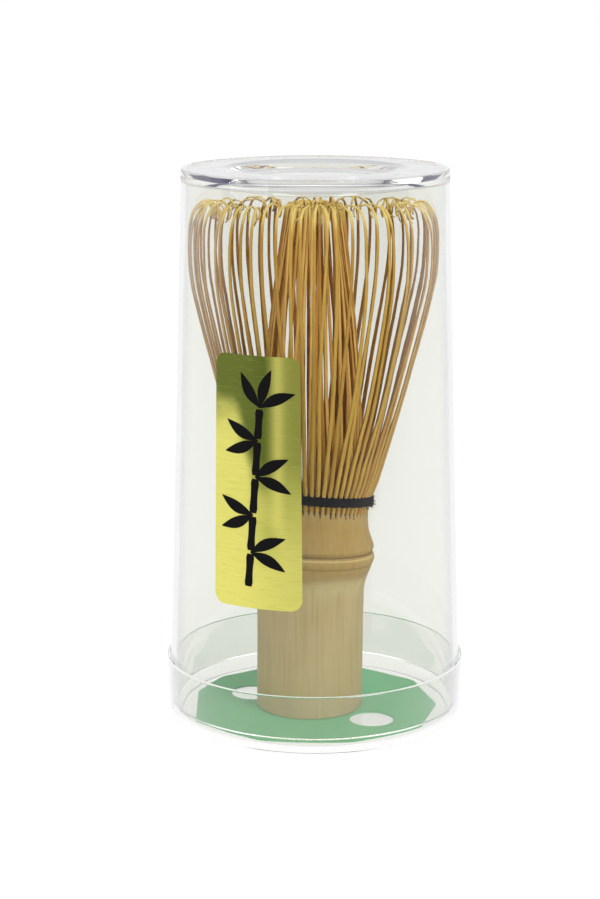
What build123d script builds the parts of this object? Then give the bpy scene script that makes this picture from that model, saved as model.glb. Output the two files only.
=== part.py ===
"""Bamboo tea whisk (chasen) standing foot-down in its clear two-piece display case.

Millimetres, +Z up.  The origin is the centre of the case's flat underside, so the
case, the whisk and the card all share the Z axis.  The front of the case faces -Y.
"""

import math
import os

from build123d import *

# ---------------------------------------------------------------- driving sizes
# Base cap: a shallow dish that the cover plugs into
rim_height = 14.0
base_draft = 0.5
base_wall = 0.75
base_floor = 1.2
base_corner_radius = 2.2
ledge_height = 4.0
ledge_width = 1.5
ledge_fillet = 2.0
rim_round = 0.25

# Cover: a tall tapered tube, closed at the top by a thick plate with a shallow well
cover_wall = 1.1
cover_flare = 4.3
plug_clearance = 0.12
shoulder_gap = 0.2
tine_clearance = 0.7
tip_clearance = 1.9
top_plate_thickness = 2.5
well_radius = 19.2
well_floor_radius = 13.8
well_depth = 1.6
boss_radius = 18.0
boss_drop = 2.2
boss_slope = 1.4
top_edge_round = 0.35

# Card under the whisk
card_thickness = 0.35
card_edge_clearance = 0.45
card_corner_radius = 4.0
card_hole_radius = 5.0
card_hole_spacing = 33.0
card_hole_angle = -34.0
card_hole_shift = (-0.9, -2.3)

# Culm: the handle, the node and the collar below the tines
handle_radius = 12.2
handle_taper = 0.15
handle_bore_radius = 8.0
handle_foot_round = 0.5
node_height = 40.0
node_swell = 2.25
node_groove_depth = 0.5
node_ridge_spacing = 1.3
handle_swell_length = 10.7
collar_swell_length = 4.5
diaphragm_thickness = 3.5
collar_step = 0.75
collar_lining = 0.4
kerf_height = 50.3

# Tines, split from the collar's wall
section_count = 16
tines_per_section = 4
outer_tine_width = 0.9
outer_root_depth = 1.35
outer_tip_depth = 0.3
inner_tine_width = 0.42
inner_root_depth = 1.0
inner_tip_depth = 0.3
spread_radius = 27.95
spread_drop = 11.0
whisk_height = 117.45
hook_reach = 7.4
hook_drop = 4.6
bundle_radius = 5.75
bundle_drop = 6.0

# Binding thread, wound in turns outside the outer tines and inside them
thread_radius = 0.4
thread_clearance = 0.16
thread_lift = 1.2
outer_thread_turns = 3
inner_thread_turns = 2

# Foil label on the cover, with a printed bamboo sprig
label_width = 20.6
label_bottom = 33.0
label_top = 88.3
label_corner_radius = 2.6
label_thickness = 0.1
label_glue_gap = 0.04
label_azimuth = -115.6
label_arc = 60.0
label_reach = 8.0
print_thickness = 0.05
stalk_lean = 4.0
stalk_width = 1.6
stalk_gap = 0.8
leaf_root = 0.4
leaf_length = 8.6
leaf_width = 2.5

# ---------------------------------------------------------------- derived sizes
card_top = base_floor + card_thickness
foot_height = card_top
whisk_top = foot_height + whisk_height
spread_height = whisk_top - spread_drop
bundle_top = whisk_top - bundle_drop

# The case is as tall and as wide as the whisk inside it needs
boss_height = whisk_top + tip_clearance
plate_underside = boss_height + boss_drop
case_height = plate_underside + top_plate_thickness
well_floor_height = case_height - well_depth
cover_top_radius = spread_radius + tine_clearance + cover_wall
rim_radius = cover_top_radius + cover_flare

base_foot_radius = rim_radius - base_draft
base_slope = base_draft / rim_height
ledge_outer_radius = base_foot_radius + base_slope * ledge_height - base_wall
ledge_inner_radius = ledge_outer_radius - ledge_width
mouth_radius = ledge_outer_radius - plug_clearance
shoulder_height = rim_height + shoulder_gap
shoulder_radius = mouth_radius + base_slope * (shoulder_height - ledge_height)
cover_slope = (shoulder_radius - cover_top_radius) / (case_height - shoulder_height)
card_radius = ledge_inner_radius - ledge_fillet - card_edge_clearance

diaphragm_bottom = node_height - 0.7 * diaphragm_thickness
diaphragm_top = diaphragm_bottom + diaphragm_thickness
node_ridge_radius = handle_radius + node_swell
collar_radius = handle_radius + collar_step
thread_pitch = 2 * (thread_radius + thread_clearance)
inner_root_radius = collar_radius - outer_root_depth - thread_pitch
collar_bore_radius = inner_root_radius - inner_root_depth - collar_lining
thread_height = kerf_height + thread_lift

outer_tine_count = section_count * tines_per_section
tine_pitch = 360.0 / outer_tine_count

output_folder = "parts"
os.makedirs(output_folder, exist_ok=True)


def save(piece, name):
    """Label a finished piece and write it as one STEP file."""
    piece.part.label = name
    export_step(piece.part, f"{output_folder}/{name}.step")


def radial_plane(azimuth, shift=0.0):
    """An upright plane with its X outwards at this azimuth, shifted off the Z axis along its normal."""
    angle = math.radians(azimuth)
    outward = (math.cos(angle), math.sin(angle), 0)
    across = (math.sin(angle), -math.cos(angle), 0)
    return Plane(origin=(0, 0, 0), x_dir=outward, z_dir=across).offset(shift)


def cover_radius(height):
    """Outside radius of the cover above its shoulder."""
    return shoulder_radius - cover_slope * (height - shoulder_height)


# ---------------------------------------------------------------- base cap
with BuildPart() as base:
    with BuildSketch(Plane.XZ):
        with BuildLine():
            Polyline(
                (0, 0),
                (base_foot_radius, 0),
                (rim_radius, rim_height),
                (rim_radius - base_wall, rim_height),
                (ledge_outer_radius, ledge_height),
                (ledge_inner_radius, ledge_height),
                (ledge_inner_radius, base_floor),
                (0, base_floor),
                close=True,
            )
        make_face()
        fillet(vertices().sort_by_distance((base_foot_radius, 0))[0], base_corner_radius)
        fillet(vertices().sort_by_distance((ledge_inner_radius, base_floor))[0], ledge_fillet)
        fillet(vertices().sort_by_distance((rim_radius, rim_height))[0], rim_round)
    revolve(axis=Axis.Z)
save(base, "base")

# ---------------------------------------------------------------- cover
with BuildPart() as cover:
    with BuildSketch(Plane.XZ):
        with BuildLine():
            Polyline(
                (mouth_radius, ledge_height),
                (shoulder_radius, shoulder_height),
                (cover_top_radius, case_height),
                (well_radius, case_height),
                (well_floor_radius, well_floor_height),
                (0, well_floor_height),
                (0, boss_height),
                (boss_radius, boss_height),
                (boss_radius + boss_slope, plate_underside),
                (cover_radius(plate_underside) - cover_wall, plate_underside),
                (shoulder_radius - cover_wall, shoulder_height),
                (mouth_radius - cover_wall, ledge_height),
                close=True,
            )
        make_face()
        fillet(vertices().sort_by_distance((cover_top_radius, case_height))[0], top_edge_round)
        fillet(vertices().sort_by_distance((well_radius, case_height))[0], well_depth)
        fillet(vertices().sort_by_distance((boss_radius, boss_height))[0], top_edge_round)
    revolve(axis=Axis.Z)
save(cover, "cover")

# ---------------------------------------------------------------- card insert
# A hand-cut disc with flats, which lies on the floor of the base cap.
# Each corner gives its azimuth and its distance from the middle as a share of the card's radius.
card_corners = [
    (-2, 0.98),
    (33, 0.99),
    (70, 0.98),
    (112, 0.97),
    (141, 1.0),
    (164, 1.0),
    (203, 1.0),
    (245, 0.99),
    (287, 0.97),
    (324, 0.98),
]


def card_corner(azimuth, share):
    """A corner of the card's outline."""
    angle = math.radians(azimuth)
    return (share * card_radius * math.cos(angle), share * card_radius * math.sin(angle))


with BuildPart() as card_insert:
    with BuildSketch(Plane.XY.offset(base_floor)):
        with BuildLine():
            Polyline(*[card_corner(*corner) for corner in card_corners], close=True)
        make_face()
        fillet(vertices(), card_corner_radius)
        with Locations(card_hole_shift):
            with PolarLocations(card_hole_spacing / 2, 2, start_angle=card_hole_angle):
                Circle(card_hole_radius, mode=Mode.SUBTRACT)
    extrude(amount=card_thickness)
save(card_insert, "card_insert")

# ---------------------------------------------------------------- culm
# The outside runs up the handle, swells to the node's two ridges and draws in to the collar
foot_edge = (handle_radius, foot_height)
lower_ridge = (node_ridge_radius, node_height - node_ridge_spacing)
groove = (node_ridge_radius - node_groove_depth, node_height)
upper_ridge = (node_ridge_radius, node_height + node_ridge_spacing)
handle_top = (handle_radius + handle_taper, lower_ridge[1] - handle_swell_length)
collar_start = (collar_radius, upper_ridge[1] + collar_swell_length)
collar_top = (collar_radius, kerf_height)

with BuildPart() as culm:
    with BuildSketch(Plane.XZ):
        with BuildLine():
            Line((0, foot_height), foot_edge)
            Line(foot_edge, handle_top)
            Spline(handle_top, lower_ridge, tangents=[(0.01, 1), (0.35, 1)])
            Line(lower_ridge, groove)
            Line(groove, upper_ridge)
            Spline(upper_ridge, collar_start, tangents=[(-0.05, 1), (-0.02, 1)])
            Line(collar_start, collar_top)
            Line(collar_top, (0, kerf_height))
            Line((0, kerf_height), (0, foot_height))
        make_face()
        fillet(vertices().sort_by_distance(foot_edge)[0], handle_foot_round)
    revolve(axis=Axis.Z)
    with BuildSketch(Plane.XY.offset(foot_height)):
        Circle(handle_bore_radius)
    extrude(amount=diaphragm_bottom - foot_height, mode=Mode.SUBTRACT)
    with BuildSketch(Plane.XY.offset(diaphragm_top)):
        Circle(collar_bore_radius)
    extrude(amount=kerf_height - diaphragm_top, mode=Mode.SUBTRACT)
save(culm, "culm")

# ---------------------------------------------------------------- tines
# Outer face of an outer tine: it leaves the collar upright, flares, bows over and hooks inwards
collar_to_spread = spread_radius - collar_radius
kerf_to_spread = spread_height - kerf_height
outer_tine_path = [
    (collar_radius, kerf_height),
    (collar_radius + 0.6, kerf_height + 3.2),
    (collar_radius + 0.30 * collar_to_spread, kerf_height + 0.235 * kerf_to_spread),
    (collar_radius + 0.70 * collar_to_spread, kerf_height + 0.59 * kerf_to_spread),
    (collar_radius + 0.93 * collar_to_spread, kerf_height + 0.82 * kerf_to_spread),
    (spread_radius, spread_height),
    (spread_radius - 0.13 * hook_reach, whisk_top - 4.0),
    (spread_radius - 0.50 * hook_reach, whisk_top - 0.5),
    (spread_radius - 0.85 * hook_reach, whisk_top - 1.2),
    (spread_radius - 1.05 * hook_reach, whisk_top - hook_drop),
]
# Outer face of an inner tine: it stays upright through the binding and gathers into a bundle
inner_tine_path = [
    (inner_root_radius, kerf_height),
    (inner_root_radius, kerf_height + 0.14 * (bundle_top - kerf_height)),
    (inner_root_radius - 0.2, kerf_height + 0.36 * (bundle_top - kerf_height)),
    (bundle_radius + 1.1, kerf_height + 0.85 * (bundle_top - kerf_height)),
    (bundle_radius, bundle_top),
]


def inner_edge(path, root_depth, tip_depth):
    """The inner face of a tine: the outer face moved inwards by a depth that thins to the tip."""
    edge = []
    for index, point in enumerate(path):
        before = path[max(index - 1, 0)]
        after = path[min(index + 1, len(path) - 1)]
        run = (after[0] - before[0], after[1] - before[1])
        length = math.hypot(*run)
        share = index / (len(path) - 1)
        depth = tip_depth + (root_depth - tip_depth) * (1 - share) ** 2
        edge.append((point[0] - depth * run[1] / length, point[1] + depth * run[0] / length))
    edge[0] = (path[0][0] - root_depth, path[0][1])
    return edge


def tine_section(name, first_tine, start_angle, path, root_depth, tip_depth, width):
    """One section of the split collar: its tines as separate solids in one node."""
    inner = inner_edge(path, root_depth, tip_depth)
    with BuildPart() as section:
        for number in range(first_tine, first_tine + tines_per_section):
            with BuildSketch(radial_plane(start_angle + number * tine_pitch, -width / 2)):
                with BuildLine():
                    Spline(*path)
                    Line(path[-1], inner[-1])
                    Spline(*reversed(inner))
                    Line(inner[0], path[0])
                make_face()
        extrude(amount=width)
    save(section, name)


for section_number in range(section_count):
    first = section_number * tines_per_section
    tine_section(
        f"outer_tines_{section_number + 1:02d}",
        first,
        0.0,
        outer_tine_path,
        outer_root_depth,
        outer_tip_depth,
        outer_tine_width,
    )
    tine_section(
        f"inner_tines_{section_number + 1:02d}",
        first,
        tine_pitch / 2,
        inner_tine_path,
        inner_root_depth,
        inner_tip_depth,
        inner_tine_width,
    )


# ---------------------------------------------------------------- binding thread
def path_radius(path, height):
    """Radius of a tine's outer face at a height between its first points."""
    for low, high in zip(path, path[1:]):
        if height <= high[1]:
            share = (height - low[1]) / (high[1] - low[1])
            return low[0] + share * (high[0] - low[0])
    return path[-1][0]


with BuildPart() as binding_thread:
    for turn in range(outer_thread_turns):
        height = thread_height + thread_radius + turn * thread_pitch
        widest = path_radius(outer_tine_path, height + thread_radius)
        turn_radius = widest + thread_clearance + thread_radius
        with BuildSketch(Plane.XZ):
            with Locations((turn_radius, height)):
                Circle(thread_radius)
        revolve(axis=Axis.Z)
    for turn in range(inner_thread_turns):
        height = thread_height + thread_radius + turn * thread_pitch
        turn_radius = inner_root_radius + thread_clearance + thread_radius
        with BuildSketch(Plane.XZ):
            with Locations((turn_radius, height)):
                Circle(thread_radius)
        revolve(axis=Axis.Z)
save(binding_thread, "binding_thread")

# ---------------------------------------------------------------- foil label
label_middle = (label_bottom + label_top) / 2
label_radius = cover_radius(label_middle)
label_angle = math.radians(label_azimuth)
label_plane = Plane(
    origin=(label_radius * math.cos(label_angle), label_radius * math.sin(label_angle), label_middle),
    x_dir=(-math.sin(label_angle), math.cos(label_angle), 0),
    z_dir=(math.cos(label_angle), math.sin(label_angle), 0),
)


def cover_skin(gap, thickness):
    """Profile of a skin that follows the cover's outside over the label's height."""
    inside_bottom = cover_radius(label_bottom - 1) + gap
    inside_top = cover_radius(label_top + 1) + gap
    with BuildSketch(radial_plane(label_azimuth - label_arc / 2)) as profile:
        with BuildLine():
            Polyline(
                (inside_bottom, label_bottom - 1),
                (inside_bottom + thickness, label_bottom - 1),
                (inside_top + thickness, label_top + 1),
                (inside_top, label_top + 1),
                close=True,
            )
        make_face()
    return profile.sketch


with BuildPart() as foil_label:
    revolve(cover_skin(label_glue_gap, label_thickness), axis=Axis.Z, revolution_arc=label_arc)
    with BuildSketch(label_plane):
        RectangleRounded(label_width, label_top - label_bottom, label_corner_radius)
    extrude(amount=label_reach, both=True, mode=Mode.INTERSECT)
save(foil_label, "foil_label")

# Printed sprig: a jointed stalk with brush-stroke leaves at its joints.
# Each joint gives its height as a share of the label's half height, and its leaves' angles.
stalk_joints = [
    (-0.84, []),
    (-0.55, [24.0, -26.0]),
    (-0.25, [156.0, 203.0]),
    (0.05, [30.0, -22.0]),
    (0.34, [152.0, 200.0]),
    (0.60, [122.0, 72.0, 22.0]),
]


def sprig_place(share, angle):
    """A place along the leaning stalk, turned to an angle."""
    height = share * (label_top - label_bottom) / 2
    return Location((height * math.tan(math.radians(stalk_lean)), height), angle)


with BuildSketch() as leaf:
    with BuildLine():
        ThreePointArc((leaf_root, 0), (0.4 * leaf_length, leaf_width / 2), (leaf_length, 0))
        ThreePointArc((leaf_length, 0), (0.4 * leaf_length, -leaf_width / 2), (leaf_root, 0))
    make_face()

with BuildPart() as label_print:
    print_gap = label_glue_gap + label_thickness
    revolve(cover_skin(print_gap, print_thickness), axis=Axis.Z, revolution_arc=label_arc)
    with BuildSketch(label_plane):
        for (low, _), (high, _) in zip(stalk_joints, stalk_joints[1:]):
            internode = (high - low) * (label_top - label_bottom) / 2 - stalk_gap
            with Locations(sprig_place((low + high) / 2, -stalk_lean)):
                RectangleRounded(stalk_width, internode, 0.3 * stalk_width)
        for height, leaf_angles in stalk_joints:
            for angle in leaf_angles:
                with Locations(sprig_place(height, angle)):
                    add(leaf.sketch)
    extrude(amount=label_reach, both=True, mode=Mode.INTERSECT)
save(label_print, "label_print")
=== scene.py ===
"""Bamboo tea whisk in a clear plastic case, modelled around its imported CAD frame."""

import math
import random

import bmesh
import bpy
from bpy.props import FloatProperty, FloatVectorProperty, IntProperty, PointerProperty
from bpy.types import Operator, Panel, PropertyGroup
from mathutils import Matrix, Vector


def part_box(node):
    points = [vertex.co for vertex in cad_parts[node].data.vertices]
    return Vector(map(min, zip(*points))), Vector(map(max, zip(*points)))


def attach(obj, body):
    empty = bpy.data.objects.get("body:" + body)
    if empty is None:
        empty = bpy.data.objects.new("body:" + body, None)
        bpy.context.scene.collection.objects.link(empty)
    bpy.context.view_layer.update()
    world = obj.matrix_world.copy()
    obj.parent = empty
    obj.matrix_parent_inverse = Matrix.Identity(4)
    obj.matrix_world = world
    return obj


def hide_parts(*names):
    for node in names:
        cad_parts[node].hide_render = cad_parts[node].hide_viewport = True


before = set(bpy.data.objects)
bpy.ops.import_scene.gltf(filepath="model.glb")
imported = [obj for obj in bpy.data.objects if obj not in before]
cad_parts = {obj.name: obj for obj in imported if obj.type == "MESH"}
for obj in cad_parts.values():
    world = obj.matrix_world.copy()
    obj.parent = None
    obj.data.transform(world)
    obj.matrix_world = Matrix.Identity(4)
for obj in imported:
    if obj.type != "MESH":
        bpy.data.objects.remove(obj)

bl_info = {
    "name": "Bamboo Tea Whisk",
    "version": (1, 0, 0),
    "blender": (4, 5, 0),
    "location": "View3D > Sidebar > Tea Whisk",
    "description": "Builds a bamboo tea whisk, its clear case, card and foil label",
    "category": "Object",
}

MM = 0.001


# ---------------------------------------------------------------- sizes read from the CAD frame
def cad_low(node):
    """Lowest corner of a CAD node."""
    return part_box(node)[0]


def cad_high(node):
    """Highest corner of a CAD node."""
    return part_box(node)[1]


RIM_RADIUS = cad_high("base").x
RIM_HEIGHT = cad_high("base").z
PLUG_BOTTOM = cad_low("cover").z
CASE_HEIGHT = cad_high("cover").z
SHOULDER_RADIUS = cad_high("cover").x
CARD_TOP = cad_high("card_insert").z
KERF_HEIGHT = cad_high("culm").z
WHISK_TOP = cad_high("outer_tines_01").z
SPREAD_RADIUS = cad_high("outer_tines_01").x
THREAD_BOTTOM = cad_low("binding_thread").z
LABEL_BOTTOM = cad_low("foil_label").z
LABEL_TOP = cad_high("foil_label").z
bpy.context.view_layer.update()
LABEL_MIDDLE = (LABEL_BOTTOM + LABEL_TOP) / 2
SHOULDER_HEIGHT = RIM_HEIGHT + 0.2 * MM
TINE_RISE = WHISK_TOP - KERF_HEIGHT


def paint(red, green, blue):
    """A display colour from 0 to 255, as the linear values that shaders use."""
    linear = []
    for value in (red, green, blue):
        share = value / 255
        linear.append(share / 12.92 if share <= 0.04045 else ((share + 0.055) / 1.055) ** 2.4)
    return tuple(linear)


def length(name, description, default):
    """A length property, in metres."""
    return FloatProperty(name=name, description=description, default=default, min=0.0, unit="LENGTH", precision=5)


def angle(name, description, degrees):
    """An angle property, given in degrees."""
    return FloatProperty(name=name, description=description, default=math.radians(degrees), subtype="ANGLE")


def share(name, description, default):
    """A property from 0 to 1."""
    return FloatProperty(name=name, description=description, default=default, min=0.0, max=1.0, subtype="FACTOR")


def count(name, description, default):
    """A whole number property."""
    return IntProperty(name=name, description=description, default=default, min=1)


def colour(name, description, default):
    """A colour property."""
    return FloatVectorProperty(
        name=name, description=description, default=default, size=3, min=0.0, max=1.0, subtype="COLOR"
    )


# ---------------------------------------------------------------- properties
class CaseSizes(PropertyGroup):
    """Sizes and tint of the clear cover and its base cap."""

    steps: count("Steps", "Steps round the case", 192)
    cover_wall: length("Cover wall", "Wall thickness of the cover", 1.1 * MM)
    cover_top_radius: length("Cover top radius", "Outside radius at the top of the cover", 29.75 * MM)
    top_plate: length("Top plate", "Thickness of the cover's top plate", 2.5 * MM)
    well_radius: length("Well radius", "Radius of the shallow well in the top", 19.2 * MM)
    well_floor_radius: length("Well floor radius", "Radius of the well's flat floor", 13.8 * MM)
    well_depth: length("Well depth", "Depth of the well in the top", 1.6 * MM)
    boss_radius: length("Boss radius", "Radius of the boss below the top plate", 18.0 * MM)
    boss_drop: length("Boss drop", "How far the boss stands below the top plate", 2.2 * MM)
    base_wall: length("Base wall", "Wall thickness of the base cap", 0.75 * MM)
    base_floor: length("Base floor", "Thickness of the base cap's floor", 1.2 * MM)
    base_draft: length("Base draft", "How much the base cap narrows to its foot", 0.5 * MM)
    ledge_width: length("Ledge width", "Width of the ledge that the cover stands on", 1.5 * MM)
    plug_clearance: length("Plug clearance", "Gap between the cover's plug and the base cap", 0.12 * MM)
    cover_tint: colour("Cover tint", "Colour that the cover gives to what is behind it", paint(241, 242, 238))
    base_tint: colour("Base tint", "Colour that the base cap gives to what is behind it", paint(245, 246, 243))
    # Painted shade: a lavender grey painted where the plastic is seen edge on, standing in for the darker bands of
    # reflection there.
    edge_painted_shade: colour("Edge tint", "Colour that the plastic gives where it is seen edge on", paint(186, 188, 204))


class CulmSizes(PropertyGroup):
    """Sizes and colours of the bamboo culm: handle, node and collar."""

    steps: count("Steps per tine", "Steps round the culm for each tine", 6)
    handle_radius: length("Handle radius", "Radius of the handle at its foot", 12.2 * MM)
    handle_bore: length("Handle bore", "Radius of the hollow in the handle", 8.0 * MM)
    collar_radius: length("Collar radius", "Radius of the collar where it is split", 12.95 * MM)
    collar_bore: length("Collar bore", "Radius of the hollow in the collar", 9.2 * MM)
    node_height: length("Node height", "Height of the node's groove", 40.0 * MM)
    kerf_depth: length("Kerf depth", "Depth of the saw cuts between tines at the collar", 0.55 * MM)
    straw: colour("Straw", "Colour of the handle", paint(180, 159, 111))
    amber: colour("Amber", "Colour of the bamboo round its node", paint(168, 135, 66))
    scar: colour("Scar", "Colour of the line in the node's groove", paint(98, 74, 34))


class TineSizes(PropertyGroup):
    """Sizes and colours of the split tines."""

    tine_count: count("Tines in a row", "Tines in the outer row, and in the inner row", 64)
    stations: count("Stations", "Cross-sections along a tine", 30)
    outer_width: length("Outer width", "Width of an outer tine at its root", 1.02 * MM)
    inner_width: length("Inner width", "Width of an inner tine at its root", 0.84 * MM)
    outer_depth: length("Outer depth", "Thickness of an outer tine at its root", 1.35 * MM)
    inner_depth: length("Inner depth", "Thickness of an inner tine at its root", 0.9 * MM)
    inner_root: length("Inner root radius", "Radius at which the inner tines leave the collar", 11.2 * MM)
    bundle_radius: length("Bundle radius", "Radius of the inner tines' bundle near its top", 6.4 * MM)
    unevenness: share("Unevenness", "How much the tines stray from their even places", 0.5)
    skin: colour("Skin", "Colour of the tines' outer faces", paint(194, 157, 74))
    # Flesh colour of the cut sides, darkened in part as painted shade on the sides.
    flesh_and_side_shade: colour("Flesh", "Colour of the tines' cut sides", paint(158, 110, 44))
    tip: colour("Tip", "Colour of the shaved tips", paint(226, 198, 118))
    # Cut sides of the inner tines: darker as painted side shade, yet painted lighter than the outer flesh to make up
    # for the shade in the bundle.
    core: colour("Core", "Colour of the inner tines' cut sides", paint(184, 128, 54))
    # Painted light: the inner tines are painted lighter than the outer bamboo, to make up for the shade inside the
    # bundle.
    inner: colour("Inner", "Colour of the inner tines", paint(232, 186, 104))


class ThreadSizes(PropertyGroup):
    """Sizes and colour of the binding thread."""

    radius: length("Thread radius", "Radius of the thread", 0.42 * MM)
    outer_turns: count("Outer turns", "Turns round the outside of the outer tines", 3)
    inner_turns: count("Inner turns", "Turns round the outside of the inner tines", 2)
    hairs: count("Hairs", "Loose fibres that stand out of the thread", 520)
    dye: colour("Dye", "Colour of the thread", paint(6, 7, 11))


class CardSizes(PropertyGroup):
    """Colour of the card insert."""

    green: colour("Green", "Colour of the card", paint(110, 184, 132))


class LabelSizes(PropertyGroup):
    """Sizes and colours of the foil label and its printed sprig."""

    width: length("Width", "Width of the label round the cover", 20.6 * MM)
    corner: length("Corner radius", "Radius of the label's corners", 2.6 * MM)
    thickness: length("Thickness", "Thickness of the foil", 0.1 * MM)
    glue_gap: length("Glue gap", "Gap between the cover and the foil", 0.04 * MM)
    azimuth: angle("Azimuth", "Where the label's middle is, round the cover", -114.2)
    tilt: angle("Tilt", "How far the label is turned from upright", 0.7)
    leaf_length: length("Leaf length", "Length of the sprig's leaves", 8.6 * MM)
    stalk_lean: angle("Stalk lean", "How far the sprig's stalk leans", 4.0)
    joint_gap: length("Joint gap", "Gap between the stalk's strokes and their joints", 0.4 * MM)
    ink_thickness: length("Ink thickness", "Thickness of the print", 0.05 * MM)
    gold: colour("Gold", "Bright colour of the foil", paint(224, 218, 112))
    # Painted shade: the olive that the foil's dark bands are painted in.
    painted_shade_olive: colour("Olive", "Colour of the foil where it turns from the light", paint(76, 92, 22))
    ink: colour("Ink", "Colour of the print", paint(7, 7, 7))


class StageSettings(PropertyGroup):
    """Camera, floor and lights."""

    tilt: angle("Tilt", "How far the camera looks down", 12.61)
    lens: FloatProperty(name="Lens", description="Focal length of the camera in millimetres", default=88.86, min=1.0)
    floor_size: length("Floor size", "Width of the floor", 6.0)
    sky: FloatProperty(name="Sky", description="Strength of the even light from all round", default=0.98, min=0.0)
    room: colour("Room", "Colour of the dim room that gloss shows beside the backdrop", paint(112, 110, 132))
    key: FloatProperty(name="Key light", description="Power of the main lamp", default=4.8, min=0.0, unit="POWER")
    fill: FloatProperty(name="Fill light", description="Power of the side lamp", default=1.8, min=0.0, unit="POWER")
    top: FloatProperty(name="Top light", description="Power of the overhead lamp", default=2.6, min=0.0, unit="POWER")


# ---------------------------------------------------------------- materials
class Wire:
    """A socket's value in a material, which takes part in Python arithmetic."""

    def __init__(self, finish, socket):
        self.finish = finish
        self.socket = socket

    def math(self, operation, first, second=0.0):
        return self.finish.node("ShaderNodeMath", {"operation": operation}, {0: first, 1: second})

    def __add__(self, other):
        return self.math("ADD", self, other)

    def __sub__(self, other):
        return self.math("SUBTRACT", self, other)

    def __rsub__(self, other):
        return self.math("SUBTRACT", other, self)

    def __mul__(self, other):
        return self.math("MULTIPLY", self, other)

    __radd__ = __add__
    __rmul__ = __mul__


class Finish:
    """The nodes of a material or of the world, built one at a time."""

    def __init__(self, owner):
        self.owner = owner
        owner.use_nodes = True
        self.tree = owner.node_tree
        self.tree.nodes.clear()

    def node(self, kind, settings=None, sockets=None, out=0):
        """Adds a node with its settings, then the values or links of its sockets."""
        node = self.tree.nodes.new(kind)
        for key, value in (settings or {}).items():
            setattr(node, key, value)
        for key, value in (sockets or {}).items():
            self.feed(node.inputs[key], value)
        return Wire(self, node.outputs[out]) if node.outputs else node

    def feed(self, socket, value):
        """Links a wire to a socket, or sets the socket's own value."""
        if isinstance(value, Wire):
            self.tree.links.new(value.socket, socket)
        elif socket.type == "RGBA":
            socket.default_value = (*value[:3], 1.0)
        else:
            socket.default_value = value

    def place(self):
        """Object coordinates."""
        return self.node("ShaderNodeTexCoord", out="Object")

    def carried(self, name, out="Vector"):
        """An attribute that the mesh carries."""
        return self.node("ShaderNodeAttribute", {"attribute_name": name}, out=out)

    def part_of(self, vector, axis):
        """One component of a vector."""
        return self.node("ShaderNodeSeparateXYZ", sockets={0: vector}, out=axis)

    def scaled(self, vector, scale):
        """A vector stretched along its axes."""
        return self.node("ShaderNodeMapping", sockets={"Vector": vector, "Scale": scale})

    def noise(self, vector, scale, detail=3.0, roughness=0.5):
        """Soft noise from 0 to 1."""
        return self.node(
            "ShaderNodeTexNoise",
            sockets={"Vector": vector, "Scale": scale, "Detail": detail, "Roughness": roughness},
        )

    def ease(self, value, low, high):
        """A smooth step from 0 at low to 1 at high."""
        return self.node(
            "ShaderNodeMapRange",
            {"interpolation_type": "SMOOTHSTEP"},
            {"Value": value, "From Min": low, "From Max": high},
        )

    def bell(self, value, middle, reach):
        """A soft line: 1 at the middle, falling to 0 at the reach either side."""
        away = self.node("ShaderNodeMath", {"operation": "ABSOLUTE"}, {0: value - middle})
        return self.ease(away, reach, 0.0)

    def mix(self, factor, first, second):
        """A blend of two colours."""
        return self.node("ShaderNodeMix", {"data_type": "RGBA"}, {0: factor, 6: first, 7: second}, out=2)

    def larger(self, first, second):
        """The larger of two values."""
        return self.node("ShaderNodeMath", {"operation": "MAXIMUM"}, {0: first, 1: second})

    def over(self, value, limit):
        """1 where a value is over a limit, 0 elsewhere."""
        return self.node("ShaderNodeMath", {"operation": "GREATER_THAN"}, {0: value, 1: limit})

    def ray(self, name):
        """One of the facts about the ray that meets the surface."""
        return self.node("ShaderNodeLightPath", out=name)

    def lights_diffuse(self):
        """1 for the rays that light a diffuse surface, 0 for those that the camera sees, mirrored or not."""
        return self.over(self.ray("Diffuse Depth"), 0.5)

    def was_mirrored(self):
        """1 for the rays that some surface has mirrored, 0 for those straight from the camera or through glass."""
        return self.over(self.ray("Glossy Depth"), 0.5)

    def bump(self, height, distance, strength=1.0):
        """A bump of a height in metres."""
        return self.node(
            "ShaderNodeBump", sockets={"Height": height, "Distance": distance, "Strength": strength}
        )

    def surface(self, **sockets):
        """The main shader, whose socket names are written with underscores."""
        named = {key.replace("_", " "): value for key, value in sockets.items()}
        return self.node("ShaderNodeBsdfPrincipled", sockets=named)

    def done(self, shader, output="ShaderNodeOutputMaterial"):
        """Joins the shader to the output, and returns the material or the world."""
        self.node(output, sockets={"Surface": shader})
        return self.owner


def new_finish(name):
    """The nodes of a new material."""
    return Finish(bpy.data.materials.new(name))


def clear_plastic(name, tint, edge):
    """Clear moulded polystyrene: glossy, faintly tinted, with painted lavender-grey shade where it is seen edge on,
    moulding waves and fine scuffs.
    """
    f = new_finish(name)
    waves = f.noise(f.scaled(f.place(), (1.0, 1.0, 0.35)), 90.0, 2.0)
    scuffs = f.ease(f.noise(f.scaled(f.place(), (1.0, 1.0, 6.0)), 700.0, 4.0, 0.7), 0.62, 0.8)
    # Painted shade: the tint turns to the painted lavender-grey edge shade as the surface is seen more edge on.
    facing = f.node("ShaderNodeLayerWeight", sockets={"Blend": 0.5}, out="Facing")
    glass = f.surface(
        Base_Color=f.mix(f.ease(facing, 0.55, 1.0) * 0.85, tint, edge),
        Roughness=scuffs * 0.05 + 0.012,
        Transmission_Weight=1.0,
        IOR=1.5,
        Normal=f.bump(waves, 0.00012, 0.35),
    )
    see_through = f.node("ShaderNodeBsdfTransparent", sockets={"Color": (0.93, 0.94, 0.92)})
    trapped = f.over(f.ray("Glossy Depth"), 2.5)
    passing = f.larger(f.ray("Is Shadow Ray"), trapped)
    return f.done(f.node("ShaderNodeMixShader", sockets={0: passing, 1: glass, 2: see_through}))


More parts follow.
